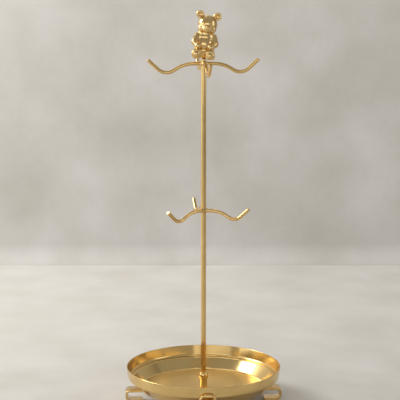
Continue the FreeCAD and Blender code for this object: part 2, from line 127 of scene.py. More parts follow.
# Plated sheet, polished on a lathe: fine rings, with the flat floor left satin.
TRAY_PLATE = metal("brass_plate_spun", "E7CA8E", "DDBB78", 0.15, 0.03, 30, 0.9, 0.006,
                   satin_radius=70 * MM)
# Plated rod and strip, tumbled and buffed: a nearly even mirror.
ROD_PLATE = metal("brass_plate_buffed", "E7C88C", "DAB675", 0.15, 0.03, 12, 0.6, 0.005)
# The casting keeps soft low waves from its mould under the polish.
CAST_PLATE = metal("brass_plate_cast", "E9CB92", "DCB87A", 0.12, 0.03, 9, 2.2, 0.04)
# Brazing alloy is paler and rougher than the plate around it.
BRAZE = metal("braze_alloy", "EBCB8C", "D9B070", 0.24, 0.05, 2, 0.4, 0.02)
# Bought washers and nut: zinc plate, a grey metal with a grain.
ZINC = metal("zinc_plate", "B9B8B4", "A3A29E", 0.32, 0.06, 3, 0.3, 0.01)
print("metals:", [m.name for m in (TRAY_PLATE, ROD_PLATE, CAST_PLATE, BRAZE, ZINC)])

# %% [markdown]
# The pads are thin discs of silicone rubber: milky, slightly see-through at the edge and never
# glossy.  A little subsurface light does that, and a fine grain breaks up the sheen.

# %% Silicone for the pads
def silicone(name, tint):
    """Milky rubber with a fine grain."""
    material = bpy.data.materials.new(name)
    material.use_nodes = True
    tree = material.node_tree
    tree.nodes.clear()
    place = add(tree, "ShaderNodeTexCoord").outputs["Object"]
    grain = add(tree, "ShaderNodeTexNoise", None, {"Vector": place, "Scale": 1 / (0.5 * MM)})
    rough = add(tree, "ShaderNodeMapRange", None,
                {"Value": grain.outputs["Fac"], "To Min": 0.5, "To Max": 0.65})
    bump = add(tree, "ShaderNodeBump", None,
               {"Height": grain.outputs["Fac"], "Strength": 0.3, "Distance": 0.02 * MM})
    surface = add(tree, "ShaderNodeBsdfPrincipled", None,
                  {"Base Color": linear(tint), "Roughness": rough.outputs["Result"], "IOR": 1.41,
                   "Subsurface Weight": 0.25, "Subsurface Scale": 0.8 * MM,
                   "Normal": bump.outputs["Normal"]})
    add(tree, "ShaderNodeOutputMaterial", None, {"Surface": surface.outputs["BSDF"]})
    return material


PAD_SILICONE = silicone("pad_silicone", "DAD6CC")
print("pads:", PAD_SILICONE.name)

# %% [markdown]
# ## Drawing outlines
# Spun and bent parts are described by their outline.  A sharp-cornered outline with a radius at each
# corner is how a workshop drawing gives it, so the helper here rounds the corners with true arcs.

# %% Outline helpers
ARC_STEP = math.radians(9)


def rounded(corners, closed=True):
    """Corners are (x, y, radius); returns points with every corner replaced by its arc."""
    points = []
    count = len(corners)
    for i, (x, y, radius) in enumerate(corners):
        here = Vector((x, y))
        if radius <= 0 or (not closed and i in (0, count - 1)):
            points.append(here)
            continue
        back = (Vector(corners[i - 1][:2]) - here).normalized()
        ahead = (Vector(corners[(i + 1) % count][:2]) - here).normalized()
        half = back.angle(ahead) / 2
        bisector = (back + ahead).normalized()
        centre = here + bisector * (radius / math.sin(half))
        start = here + back * (radius / math.tan(half)) - centre
        sweep = math.pi - 2 * half
        finish = here + ahead * (radius / math.tan(half)) - centre
        side = 1 if start.x * finish.y - start.y * finish.x > 0 else -1
        steps = max(2, math.ceil(sweep / ARC_STEP))
        for k in range(steps + 1):
            angle = side * sweep * k / steps
            turned = Vector((start.x * math.cos(angle) - start.y * math.sin(angle),
                             start.x * math.sin(angle) + start.y * math.cos(angle)))
            points.append(centre + turned)
    return points


def walk(start, moves, step=1.2 * MM):
    """Follow runs and bends like a bending jig: ("run", length) or ("bend", radius, degrees)."""
    here, heading = Vector(start), 0.0
    points = [here.copy()]
    for move in moves:
        if move[0] == "run":
            count = max(1, round(move[1] / step))
            ahead = Vector((math.cos(heading), math.sin(heading)))
            points += [here + ahead * (move[1] * k / count) for k in range(1, count + 1)]
            here = points[-1].copy()
            continue
        radius, turn = move[1], math.radians(move[2])
        side = 1 if turn > 0 else -1
        centre = here + Vector((-math.sin(heading), math.cos(heading))) * radius * side
        count = max(4, round(abs(turn) * radius / step))
        for k in range(1, count + 1):
            angle = heading + turn * k / count
            points.append(centre - Vector((-math.sin(angle), math.cos(angle))) * radius * side)
        here, heading = points[-1].copy(), heading + turn
    return points


print("a right-angle bend becomes", len(walk((0, 0), [("bend", 5 * MM, 90)])), "points")

# %% Mesh helpers
def finish_mesh(name, bm, material, smooth=True):
    """Turn a bmesh into a named object with outward faces and one material."""
    bmesh.ops.remove_doubles(bm, verts=bm.verts, dist=1e-7)
    bmesh.ops.recalc_face_normals(bm, faces=bm.faces)
    mesh = bpy.data.meshes.new(name)
    bm.to_mesh(mesh)
    bm.free()
    mesh.materials.append(material)
    for polygon in mesh.polygons:
        polygon.use_smooth = smooth
    piece = bpy.data.objects.new(name, mesh)
    bpy.context.collection.objects.link(piece)
    return piece


def lathe(name, outline, material, segments=160, centre=(0, 0)):
    """Spin a closed (radius, height) outline about an upright axis."""
    bm = bmesh.new()
    rings = []
    for radius, height in outline:
        if radius < 1e-9:
            rings.append([bm.verts.new((centre[0], centre[1], height))])
            continue
        rings.append([bm.verts.new((centre[0] + radius * math.cos(2 * math.pi * k / segments),
                                    centre[1] + radius * math.sin(2 * math.pi * k / segments), height))
                      for k in range(segments)])
    for ring, after in zip(rings, rings[1:] + rings[:1]):
        for k in range(segments):
            corners = [ring[k % len(ring)], ring[(k + 1) % len(ring)],
                       after[(k + 1) % len(after)], after[k % len(after)]]
            corners = list(dict.fromkeys(corners))
            if len(corners) > 2:
                bm.faces.new(corners)
    return finish_mesh(name, bm, material)


def crease(piece, degrees=35):
    """Keep edges sharper than this angle crisp while the rest stays smooth."""
    bm = bmesh.new()
    bm.from_mesh(piece.data)
    for edge in bm.edges:
        if len(edge.link_faces) == 2:
            edge.smooth = edge.calc_face_angle(0) < math.radians(degrees)
    bm.to_mesh(piece.data)
    bm.free()


print("lathe and bmesh helpers ready")

# %% [markdown]
# ## Table, wall, camera and light
# The stand is a small product on a pale stone table with a plain plaster wall well behind it.  The
# camera has a long lens, stands about half a metre above the rim and is tipped down.  Polished metal
# needs something to reflect, so there is one bright window to the left, dimmer panels on three
# sides and a dim room, which gives the metal its dark edges.  The wall is one-sided, so the stand
# can be seen from behind.

# %% Floor and wall
def plaster(name, light, dark, patch_mm, grain_mm, roughness, one_sided=False):
    """A mottled mineral surface; a one-sided one can be looked through from behind."""
    material = bpy.data.materials.new(name)
    material.use_nodes = True
    tree = material.node_tree
    tree.nodes.clear()
    place = add(tree, "ShaderNodeTexCoord").outputs["Object"]
    cloud = add(tree, "ShaderNodeTexNoise", None,
                {"Vector": place, "Scale": 1 / (patch_mm * MM), "Detail": 3.0, "Roughness": 0.5})
    grain = add(tree, "ShaderNodeTexNoise", None,
                {"Vector": place, "Scale": 1 / (grain_mm * MM), "Detail": 4.0})
    both = add(tree, "ShaderNodeMath", {"operation": "MULTIPLY_ADD"},
               {0: grain.outputs["Fac"], 1: 0.12, 2: cloud.outputs["Fac"]})
    spread = add(tree, "ShaderNodeMapRange", None,
                 {"Value": both.outputs["Value"], "From Min": 0.36, "From Max": 0.76})
    tone = add(tree, "ShaderNodeMix", {"data_type": "RGBA"},
               {0: spread.outputs["Result"], 6: linear(dark), 7: linear(light)})
    surface = add(tree, "ShaderNodeBsdfPrincipled", None,
                  {"Base Color": tone.outputs["Result"], "Roughness": roughness}).outputs["BSDF"]
    if one_sided:
        behind = add(tree, "ShaderNodeNewGeometry").outputs["Backfacing"]
        looking = add(tree, "ShaderNodeLightPath").outputs["Is Camera Ray"]
        open_side = add(tree, "ShaderNodeMath", {"operation": "MULTIPLY"}, {0: behind, 1: looking})
        clear = add(tree, "ShaderNodeBsdfTransparent").outputs["BSDF"]
        surface = add(tree, "ShaderNodeMixShader", None,
                      {0: open_side.outputs["Value"], 1: surface, 2: clear}).outputs["Shader"]
    add(tree, "ShaderNodeOutputMaterial", None, {"Surface": surface})
    return material


WALL_DISTANCE = 0.735
SWEEP_RADIUS = 0.03
STAGE_HALF_WIDTH = 2.6
sweep = [Vector((-3.2, 0)), Vector((WALL_DISTANCE - SWEEP_RADIUS, 0))]
sweep += [Vector((WALL_DISTANCE - SWEEP_RADIUS + SWEEP_RADIUS * math.sin(math.radians(a)),
                  SWEEP_RADIUS - SWEEP_RADIUS * math.cos(math.radians(a)))) for a in range(10, 91, 10)]
sweep += [Vector((WALL_DISTANCE, 2.6))]


def ribbon(name, profile, material):
    """A wide smooth sheet that follows a (y, z) profile."""
    bm = bmesh.new()
    rows = [[bm.verts.new((x, p.x, p.y)) for x in (-STAGE_HALF_WIDTH, STAGE_HALF_WIDTH)] for p in profile]
    for low, high in zip(rows, rows[1:]):
        bm.faces.new((low[0], low[1], high[1], high[0]))
    mesh = bpy.data.meshes.new(name)
    bm.to_mesh(mesh)
    bm.free()
    mesh.materials.append(material)
    sheet = bpy.data.objects.new(name, mesh)
    for polygon in mesh.polygons:
        polygon.use_smooth = True
    bpy.context.collection.objects.link(sheet)
    return sheet


table = ribbon("stone_table", sweep[:2], plaster("stone", "DDDAD6", "CFCBC5", 90, 3, 0.5, True))
wall = ribbon("plaster_wall", sweep[1:], plaster("plaster", "CFCCC9", "BBB8B1", 120, 6, 0.9, True))
print("table and wall meet", WALL_DISTANCE, "m behind the pole")

# %% Camera
tray_low, tray_high = (Vector(corner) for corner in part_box("tray"))
CAMERA_BACK = 1.787
CAMERA_OVER_RIM = 0.526
CAMERA_ASIDE = -0.004
CAMERA_TIP = math.radians(10.5)
camera_data = bpy.data.cameras.new("camera")
camera_data.lens = 144
camera_data.sensor_width = 36
camera = bpy.data.objects.new("camera", camera_data)
camera.location = (CAMERA_ASIDE, -CAMERA_BACK, tray_high.z + CAMERA_OVER_RIM)
camera.rotation_euler = (math.pi / 2 - CAMERA_TIP, 0, 0)
bpy.context.collection.objects.link(camera)
bpy.context.scene.camera = camera
bpy.context.scene.view_settings.view_transform = "Standard"
print("camera height above the table:", round(camera.location.z, 3), "m")


# %% Soft panels of light
def soft_panel(name, place, target, width, height, watts, tint):
    """A rectangular lamp at a place, turned to face its target."""
    data = bpy.data.lights.new(name, "AREA")
    data.shape = "RECTANGLE"
    data.size, data.size_y = width, height
    data.energy = watts
    data.color = linear(tint)[:3]
    light = bpy.data.objects.new(name, data)
    light.location = place
    aim = Vector(target) - Vector(place)
    light.rotation_euler = aim.to_track_quat("-Z", "Y").to_euler()
    bpy.context.collection.objects.link(light)
    return light


MIDDLE = (0, 0, 0.22)
soft_panel("window", (-1.35, 0.32, 1.15), MIDDLE, 0.7, 0.7, 16, "FFFEFA")
soft_panel("left_fill", (-2.0, -0.3, 0.6), MIDDLE, 1.8, 1.2, 8, "FFFEFA")
soft_panel("front_fill", (-0.6, -2.3, 0.8), MIDDLE, 2.8, 1.2, 10, "FFFDF8")
soft_panel("right_fill", (1.7, -0.5, 0.8), MIDDLE, 0.8, 1.2, 3, "FFFFFF")
soft_panel("wall_wash", (-0.5, 0.25, 1.3), (-0.2, 1.5, 1.06), 1.4, 0.3, 9, "FFFEFA")
room = bpy.data.worlds.new("room")
bpy.context.scene.world = room
room.use_nodes = True
room.node_tree.nodes["Background"].inputs["Color"].default_value = linear("CDCBC7")
room.node_tree.nodes["Background"].inputs["Strength"].default_value = 0.6

# %% [markdown]
# ## The tray
# The tray is spun from one disc of sheet: an upright band, a rounded ledge, a sloping wall and a
# flat floor, all the same thickness.  A lathe outline is the natural way to make it, and rounding
# each corner by its own radius keeps the sheet even through the bends.  The mechanical model has
# the same outline; this one has finer rings, so reflections run smoothly round it.

# %% Spin the tray
RIM = tray_high.z
RIM_RADIUS = 89 * MM
PAN_BOTTOM = tray_low.z
SHEET = 1.2 * MM
FLOOR = PAN_BOTTOM + SHEET
FLOOR_RADIUS = 71 * MM
BAND_TAPER = 1.8 * MM
LEDGE_LEVEL = RIM - 12.6 * MM
LEDGE_WIDTH = 5 * MM
FLOOR_BEND = 4 * MM
LEDGE_BEND = 2.6 * MM
SPIGOT_RADIUS = 2 * MM
RUNNING_GAP = 0.05 * MM
band_foot = RIM_RADIUS - BAND_TAPER
band_inside = band_foot - SHEET
ledge_inside = band_inside - LEDGE_WIDTH
slope = math.atan2(LEDGE_LEVEL - FLOOR, ledge_inside - FLOOR_RADIUS)
miter = SHEET * math.tan(slope / 2)
floor_hole = SPIGOT_RADIUS + RUNNING_GAP
EDGE = 0.15 * MM
RIM_EDGE = 0.5 * MM
tray_outline = rounded([
    (floor_hole, PAN_BOTTOM, EDGE),
    (FLOOR_RADIUS + miter, PAN_BOTTOM, FLOOR_BEND + SHEET),
    (ledge_inside + miter, LEDGE_LEVEL - SHEET, LEDGE_BEND),
    (band_foot, LEDGE_LEVEL - SHEET, LEDGE_BEND + SHEET),
    (RIM_RADIUS, RIM, RIM_EDGE),
    (RIM_RADIUS - SHEET, RIM, RIM_EDGE),
    (band_inside, LEDGE_LEVEL, LEDGE_BEND),
    (ledge_inside, LEDGE_LEVEL, LEDGE_BEND + SHEET),
    (FLOOR_RADIUS, FLOOR, FLOOR_BEND),
    (floor_hole, FLOOR, EDGE),
])
tray = lathe("tray_spun", tray_outline, TRAY_PLATE, segments=256)
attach(tray, "base")
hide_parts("tray")
print("tray faces:", len(tray.data.polygons))

# %% [markdown]
# ## The ferrule and the pole
# The pole stands in a turned ferrule: a plain sleeve with a round bead on top.  The bead is an arc
# whose radius follows from its height and how far it swells.

# %% Turn the ferrule and the pole
POLE_RADIUS = 3 * MM
ferrule_low, ferrule_high = (Vector(corner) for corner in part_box("pole_ferrule"))
SLEEVE_RADIUS = 4.3 * MM
BEAD_RADIUS = 5.6 * MM
BEAD_HALF = 4 * MM
swell = BEAD_RADIUS - SLEEVE_RADIUS
bead_arc = (BEAD_HALF ** 2 + swell ** 2) / (2 * swell)
bead_half_angle = math.asin(BEAD_HALF / bead_arc)
BEAD_STEPS = 16
bead_centre = Vector((BEAD_RADIUS - bead_arc, ferrule_high.z - BEAD_HALF))
bead_angles = [bead_half_angle * (2 * k / BEAD_STEPS - 1) for k in range(BEAD_STEPS + 1)]
bead = [bead_centre + Vector((math.cos(a), math.sin(a))) * bead_arc for a in bead_angles]
bore = POLE_RADIUS + RUNNING_GAP
ferrule_outline = [Vector((bore, ferrule_low.z)), Vector((SLEEVE_RADIUS, ferrule_low.z))] + bead
ferrule_outline += [Vector((bore + EDGE, ferrule_high.z)), Vector((bore, ferrule_high.z - EDGE))]
ferrule = lathe("ferrule_turned", ferrule_outline, ROD_PLATE, segments=96)
crease(ferrule)
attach(ferrule, "base")
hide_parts("pole_ferrule")

pole_low, pole_high = (Vector(corner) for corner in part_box("pole"))
shoulder = FLOOR + 0.3 * MM
pole_outline = rounded([
    (0, pole_low.z, 0),
    (SPIGOT_RADIUS, pole_low.z, 0.3 * MM),
    (SPIGOT_RADIUS, shoulder, 0),
    (POLE_RADIUS, shoulder, EDGE),
    (POLE_RADIUS, pole_high.z, 0.4 * MM),
    (0, pole_high.z, 0),
], closed=True)
pole = lathe("pole_rod", pole_outline, ROD_PLATE, segments=64)
crease(pole)
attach(pole, "column")
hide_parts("pole")
print("pole height in mm:", round((pole_high.z - pole_low.z) / MM, 1))

# %% [markdown]
# ## Bent rods and strips
# Hooks, ring and feet are all stock bent along a line, so a node tree does the bending: it takes the
# centre line as a curve, sweeps a round or rectangular section along it, and shades it.  The jig
# helper above draws each centre line from runs and bends, as a maker would quote them.

# %% A node tree that sweeps stock along a line
def socket(tree, name, kind, default=None, way="INPUT"):
    """Give a node tree one named input or output."""
    item = tree.interface.new_socket(name=name, in_out=way, socket_type="NodeSocket" + kind)
    if default is not None:
        item.default_value = default
    return item


def stock_tree():
    """Inputs: the line, the stock's width and thickness, its corner radius, and the material."""
    tree = bpy.data.node_groups.new("bent_stock", "GeometryNodeTree")
    for name, kind, default in (("Line", "Geometry", None), ("Round", "Bool", True),
                                ("Width", "Float", 0.004), ("Thickness", "Float", 0.004),
                                ("Corner", "Float", 0.0004), ("Material", "Material", None)):
        socket(tree, name, kind, default)
    socket(tree, "Mesh", "Geometry", way="OUTPUT")
    given = add(tree, "NodeGroupInput")
    half = add(tree, "ShaderNodeMath", {"operation": "MULTIPLY"}, {0: given.outputs["Width"], 1: 0.5})
    ring = add(tree, "GeometryNodeCurvePrimitiveCircle", None,
               {"Resolution": 28, "Radius": half.outputs["Value"]})
    bar = add(tree, "GeometryNodeCurvePrimitiveQuadrilateral", None,
              {"Width": given.outputs["Width"], "Height": given.outputs["Thickness"]})
    soft_bar = add(tree, "GeometryNodeFilletCurve", {"mode": "POLY"},
                   {"Curve": bar.outputs["Curve"], "Count": 3, "Radius": given.outputs["Corner"]})
    section = add(tree, "GeometryNodeSwitch", {"input_type": "GEOMETRY"},
                  {"Switch": given.outputs["Round"], "False": soft_bar.outputs["Curve"],
                   "True": ring.outputs["Curve"]})
    swept = add(tree, "GeometryNodeCurveToMesh", None,
                {"Curve": given.outputs["Line"], "Profile Curve": section.outputs["Output"],
                 "Fill Caps": True})
    smooth = add(tree, "GeometryNodeSetShadeSmooth", None, {"Geometry": swept.outputs["Mesh"]})
    real = add(tree, "GeometryNodeRealizeInstances", None, {"Geometry": smooth.outputs["Geometry"]})
    dressed = add(tree, "GeometryNodeSetMaterial", None,
                  {"Geometry": real.outputs["Geometry"], "Material": given.outputs["Material"]})
    add(tree, "NodeGroupOutput", None, {"Mesh": dressed.outputs["Geometry"]})
    return tree


BENT_STOCK = stock_tree()


def grow(carrier, tree, values):
    """Run a node tree on an object with these named inputs and return the plain mesh it makes."""
    modifier = carrier.modifiers.new("grow", "NODES")
    modifier.node_group = tree
    ids = {item.name: item.identifier for item in tree.interface.items_tree if item.item_type == "SOCKET"}
    for name, value in values.items():
        modifier[ids[name]] = value
    carrier.update_tag()
    bpy.context.view_layer.update()
    graph = bpy.context.evaluated_depsgraph_get()
    mesh = bpy.data.meshes.new_from_object(carrier.evaluated_get(graph), depsgraph=graph)
    carrier.modifiers.remove(modifier)
    return mesh


def line_object(points, cyclic=False):
    """A poly curve through 3-D points."""
    curve = bpy.data.curves.new("line", "CURVE")
    curve.dimensions = "3D"
    spline = curve.splines.new("POLY")
    spline.points.add(len(points) - 1)
    for target, point in zip(spline.points, points):
        target.co = (*point, 1)
    spline.use_cyclic_u = cyclic
    carrier = bpy.data.objects.new("line", curve)
    bpy.context.collection.objects.link(carrier)
    return carrier


def bend_stock(name, points, values, cyclic=False, end_bevel=0.0):
    """Sweep stock along points and return it as a finished, named piece."""
    carrier = line_object(points, cyclic)
    mesh = grow(carrier, BENT_STOCK, values)
    bpy.data.objects.remove(carrier)
    mesh.name = name
    piece = bpy.data.objects.new(name, mesh)
    bpy.context.collection.objects.link(piece)
    if end_bevel:
        bevel = piece.modifiers.new("softened_ends", "BEVEL")
        bevel.width = end_bevel
        bevel.segments = 3
        bevel.limit_method = "ANGLE"
        bevel.angle_limit = math.radians(60)
    return piece


print("bent stock inputs:", [item.name for item in BENT_STOCK.interface.items_tree])

# %% [markdown]
# ### Hooks
# Every hook leaves the pole level, dips in a long easy bend, turns up through a tight valley where a
# handle rests, and ends in a short straight stub.  The two tiers differ only in their lengths.

# %% Bend the hooks
ROD = 4.2 * MM
DIP, RISE = 35, 43
UPPER_DROP = 5 * MM
LOWER_LEVEL = 225 * MM
TIERS = {
    "upper": {"level": pole_high.z - UPPER_DROP, "start": 7.0, "sides": ("right", "back", "left", "front"),
              "moves": [("run", 11 * MM - POLE_RADIUS), ("bend", 38 * MM, -DIP),
                        ("bend", 15 * MM, DIP + RISE), ("run", 15 * MM)]},
    "lower": {"level": LOWER_LEVEL, "start": -17.8, "sides": ("right", "back", "left"),
              "moves": [("run", 10 * MM - POLE_RADIUS), ("bend", 33 * MM, -DIP),
                        ("bend", 12 * MM, DIP + RISE), ("run", 13 * MM)]},
}
ROOT_SINK = 0.4 * MM
TIP_BEVEL = 0.45 * MM
hook_roots = []
for tier, plan in TIERS.items():
    spacing = 2 * math.pi / len(plan["sides"])
    route = walk((POLE_RADIUS, plan["level"]), plan["moves"])
    route.insert(0, route[0] - Vector((ROOT_SINK, 0)))
    for number, side in enumerate(plan["sides"]):
        angle = math.radians(plan["start"]) + spacing * number
        points = [(p.x * math.cos(angle), p.x * math.sin(angle), p.y) for p in route]
        hook = bend_stock("hook_%s_%s" % (tier, side), points,
                          {"Round": True, "Width": ROD, "Thickness": ROD, "Material": ROD_PLATE},
                          end_bevel=TIP_BEVEL)
        hook_roots.append((angle, plan["level"]))
        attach(hook, "column")
        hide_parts("arm_%s_%s" % (tier, side))
print("hooks bent:", len(hook_roots))

# %% [markdown]
# ### Brazed roots
# A small collar of brazing metal runs round each hook where it meets the pole.  The collars are all
# alike, so a node tree puts one cone on each root point, turned to face outwards.

# %% Braze the hook roots
def braze_tree():
    """Inputs: root points carrying a turn, the rod radius, the collar's length and its spread."""
    tree = bpy.data.node_groups.new("braze_collars", "GeometryNodeTree")
    for name, kind, default in (("Roots", "Geometry", None), ("Rod Radius", "Float", 0.002),
                                ("Length", "Float", 0.002), ("Spread", "Float", 0.001),
                                ("Seed", "Int", 4), ("Material", "Material", None)):
        socket(tree, name, kind, default)
    socket(tree, "Mesh", "Geometry", way="OUTPUT")
    given = add(tree, "NodeGroupInput")
    wide = add(tree, "ShaderNodeMath", None, {0: given.outputs["Rod Radius"], 1: given.outputs["Spread"]})
    cone = add(tree, "GeometryNodeMeshCone", {"fill_type": "NONE"},
               {"Vertices": 28, "Side Segments": 5, "Radius Top": given.outputs["Rod Radius"],
                "Radius Bottom": wide.outputs["Value"], "Depth": given.outputs["Length"]})
    turn = add(tree, "GeometryNodeInputNamedAttribute", {"data_type": "FLOAT"}, {"Name": "turn"})
    facing = add(tree, "ShaderNodeCombineXYZ", None,
                 {"Y": math.pi / 2, "Z": turn.outputs["Attribute"]})
    placed = add(tree, "GeometryNodeInstanceOnPoints", None,
                 {"Points": given.outputs["Roots"], "Instance": cone.outputs["Mesh"],
                  "Rotation": facing.outputs["Vector"]})
    real = add(tree, "GeometryNodeRealizeInstances", None, {"Geometry": placed.outputs["Instances"]})
    lumps = add(tree, "ShaderNodeTexNoise", {"noise_dimensions": "4D"},
                {"Scale": 900.0, "W": given.outputs["Seed"]})
    swing = add(tree, "ShaderNodeMapRange", None,
                {"Value": lumps.outputs["Fac"], "To Min": -0.15 * MM, "To Max": 0.15 * MM})
    normal = add(tree, "GeometryNodeInputNormal")
    shift = add(tree, "ShaderNodeVectorMath", {"operation": "SCALE"},
                {0: normal.outputs["Normal"], "Scale": swing.outputs["Result"]})
    uneven = add(tree, "GeometryNodeSetPosition", None,
                 {"Geometry": real.outputs["Geometry"], "Offset": shift.outputs["Vector"]})
    smooth = add(tree, "GeometryNodeSetShadeSmooth", None, {"Geometry": uneven.outputs["Geometry"]})
    last = add(tree, "GeometryNodeRealizeInstances", None, {"Geometry": smooth.outputs["Geometry"]})
    dressed = add(tree, "GeometryNodeSetMaterial", None,
                  {"Geometry": last.outputs["Geometry"], "Material": given.outputs["Material"]})
    add(tree, "NodeGroupOutput", None, {"Mesh": dressed.outputs["Geometry"]})
    return tree


def points_object(places, turns):
    """Loose points with a turn on each, for a tree to put things on."""
    mesh = bpy.data.meshes.new("points")
    mesh.from_pydata(places, [], [])
    mesh.attributes.new("turn", "FLOAT", "POINT").data.foreach_set("value", turns)
    carrier = bpy.data.objects.new("points", mesh)
    bpy.context.collection.objects.link(carrier)
    return carrier


COLLAR_LENGTH = 1.8 * MM
COLLAR_SPREAD = 0.8 * MM
COLLAR_SINK = 0.25 * MM
collar_out = POLE_RADIUS - COLLAR_SINK
root_places = [(collar_out * math.cos(a), collar_out * math.sin(a), z) for a, z in hook_roots]
carrier = points_object(root_places, [a for a, z in hook_roots])
braze_mesh = grow(carrier, braze_tree(), {"Rod Radius": ROD / 2, "Length": COLLAR_LENGTH,
                                          "Spread": COLLAR_SPREAD, "Seed": 4, "Material": BRAZE})
bpy.data.objects.remove(carrier)
braze = bpy.data.objects.new("braze_collars", braze_mesh)
bpy.context.collection.objects.link(braze)
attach(braze, "column")
print("braze collars:", len(root_places), "faces:", len(braze_mesh.polygons))

# %% [markdown]
# ## The feet
# Each foot is flat strip bent twice into a C.  Its top leg lies under the pan and its low leg stands
# on a silicone pad, so the centre line is a run, two right-angle bends and another run.

# %% Bend the feet and set their pads
STRIP_WIDTH = 18 * MM
STRIP = 2.4 * MM
STANCE = math.radians(3)
FOOT_REACH = RIM_RADIUS + 1.5 * MM
FOOT_START = FLOOR_RADIUS - 11.5 * MM
TOP_BEND, LOW_BEND = 5 * MM, 7.5 * MM
LOW_LEG = 20 * MM
PAD_HEIGHT = 1 * MM
PAD_RADIUS = 5.5 * MM
foot_drop = PAN_BOTTOM - PAD_HEIGHT - TOP_BEND - LOW_BEND
foot_route = walk((FOOT_START, PAN_BOTTOM - STRIP / 2), [
    ("run", FOOT_REACH - TOP_BEND - FOOT_START),
    ("bend", TOP_BEND - STRIP / 2, -90),
    ("run", foot_drop),
    ("bend", LOW_BEND - STRIP / 2, -90),
    ("run", LOW_LEG - LOW_BEND),
], step=0.8 * MM)
pad_outline = rounded([(0, 0, 0), (PAD_RADIUS, 0, 0.35 * MM), (PAD_RADIUS, PAD_HEIGHT, 0.2 * MM),
                       (0, PAD_HEIGHT, 0)])
pad_out = FOOT_REACH - (LOW_LEG + LOW_BEND) / 2
WELD_INSET, WELD_ASIDE = 5 * MM, 4.5 * MM
weld_places = []
for quarter, side in enumerate(("front", "right", "back", "left")):
    angle = STANCE + (quarter - 1) * math.pi / 2
    out = Vector((math.cos(angle), math.sin(angle)))
    across = Vector((-out.y, out.x))
    points = [(p.x * out.x, p.x * out.y, p.y) for p in foot_route]
    foot = bend_stock("foot_strip_" + side, points,
                      {"Round": False, "Width": STRIP_WIDTH, "Thickness": STRIP,
                       "Corner": 0.5 * MM, "Material": ROD_PLATE}, end_bevel=0.4 * MM)
    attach(foot, "base")
    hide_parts("foot_" + side)
    centre = out * pad_out
    pad = lathe("pad_disc_" + side, pad_outline, PAD_SILICONE, segments=48, centre=(centre.x, centre.y))
    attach(pad, "base")
    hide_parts("foot_pad_" + side)
    for sideways in (-WELD_ASIDE, WELD_ASIDE):
        spot = out * (FOOT_START + WELD_INSET) + across * sideways
        weld_places.append((spot.x, spot.y, PAN_BOTTOM - STRIP))
    size = [round(d / MM, 1) for d in foot.dimensions]
    print("foot", side, "size in mm:", size)

# %% [markdown]
# Two spot welds hold each foot to the pan.  From below they show as small round dimples with a
# raised edge, so a node tree puts a shallow button on each weld point.

# %% Spot welds under the feet
def weld_tree():
    """Inputs: weld points, a button's radius and height, and the material."""
    tree = bpy.data.node_groups.new("spot_welds", "GeometryNodeTree")
    for name, kind, default in (("Places", "Geometry", None), ("Radius", "Float", 0.0015),
                                ("Height", "Float", 0.0003), ("Material", "Material", None)):
        socket(tree, name, kind, default)
    socket(tree, "Mesh", "Geometry", way="OUTPUT")
    given = add(tree, "NodeGroupInput")
    button = add(tree, "GeometryNodeMeshUVSphere", None,
                 {"Segments": 20, "Rings": 10, "Radius": given.outputs["Radius"]})
    flat = add(tree, "ShaderNodeMath", {"operation": "DIVIDE"},
               {0: given.outputs["Height"], 1: given.outputs["Radius"]})
    shape = add(tree, "ShaderNodeCombineXYZ", None, {"X": 1.0, "Y": 1.0, "Z": flat.outputs["Value"]})
    placed = add(tree, "GeometryNodeInstanceOnPoints", None,
                 {"Points": given.outputs["Places"], "Instance": button.outputs["Mesh"],
                  "Scale": shape.outputs["Vector"]})
    smooth = add(tree, "GeometryNodeSetShadeSmooth", None, {"Geometry": placed.outputs["Instances"]})
    real = add(tree, "GeometryNodeRealizeInstances", None, {"Geometry": smooth.outputs["Geometry"]})
    dressed = add(tree, "GeometryNodeSetMaterial", None,
                  {"Geometry": real.outputs["Geometry"], "Material": given.outputs["Material"]})
    add(tree, "NodeGroupOutput", None, {"Mesh": dressed.outputs["Geometry"]})
    return tree


carrier = points_object(weld_places, [0.0] * len(weld_places))
BUTTON_RADIUS, BUTTON_HEIGHT = 1.6 * MM, 0.3 * MM
weld_mesh = grow(carrier, weld_tree(),
                 {"Radius": BUTTON_RADIUS, "Height": BUTTON_HEIGHT, "Material": BRAZE})
bpy.data.objects.remove(carrier)
welds = bpy.data.objects.new("spot_welds", weld_mesh)
bpy.context.collection.objects.link(welds)
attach(welds, "base")
print("spot welds:", len(weld_places))

# %% [markdown]
# ## The front ring and its lug
# A small drop ring hangs from a barrel on the band.  Its top is a straight pin that turns in the
# barrel, so its line is a pin, a tight bend at each end and a large arc that closes the loop.

# %% Bend the ring and bore its lug
lug_low, lug_high = (Vector(corner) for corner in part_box("ring_lug"))
LUG_RADIUS = 2.3 * MM
LUG_WIDTH = 7 * MM
RING_WIRE = 1.5 * MM
RING_RADIUS = 8.6 * MM
RING_BEND = 3 * MM
PIN_RISE = 7 * MM
RING_OVERHANG = 3 * MM
ring_level = (lug_low.z + lug_high.z) / 2
ring_place = RIM_RADIUS + RING_OVERHANG - LUG_RADIUS
bend_reach = RING_RADIUS - RING_BEND
corner_turn = math.acos((PIN_RISE - RING_BEND) / bend_reach)
pin_half = bend_reach * math.sin(corner_turn)
loop = walk((0, ring_level), [
    ("run", pin_half),
    ("bend", RING_BEND, -math.degrees(corner_turn)),
    ("bend", RING_RADIUS, math.degrees(2 * corner_turn) - 360),
    ("bend", RING_BEND, -math.degrees(corner_turn)),
    ("run", pin_half),
], step=0.5 * MM)[:-1]
front = STANCE - math.pi / 2
front_out = Vector((math.cos(front), math.sin(front), 0))
front_across = Vector((-front_out.y, front_out.x, 0))
loop_points = [front_out * ring_place + front_across * p.x + Vector((0, 0, p.y)) for p in loop]
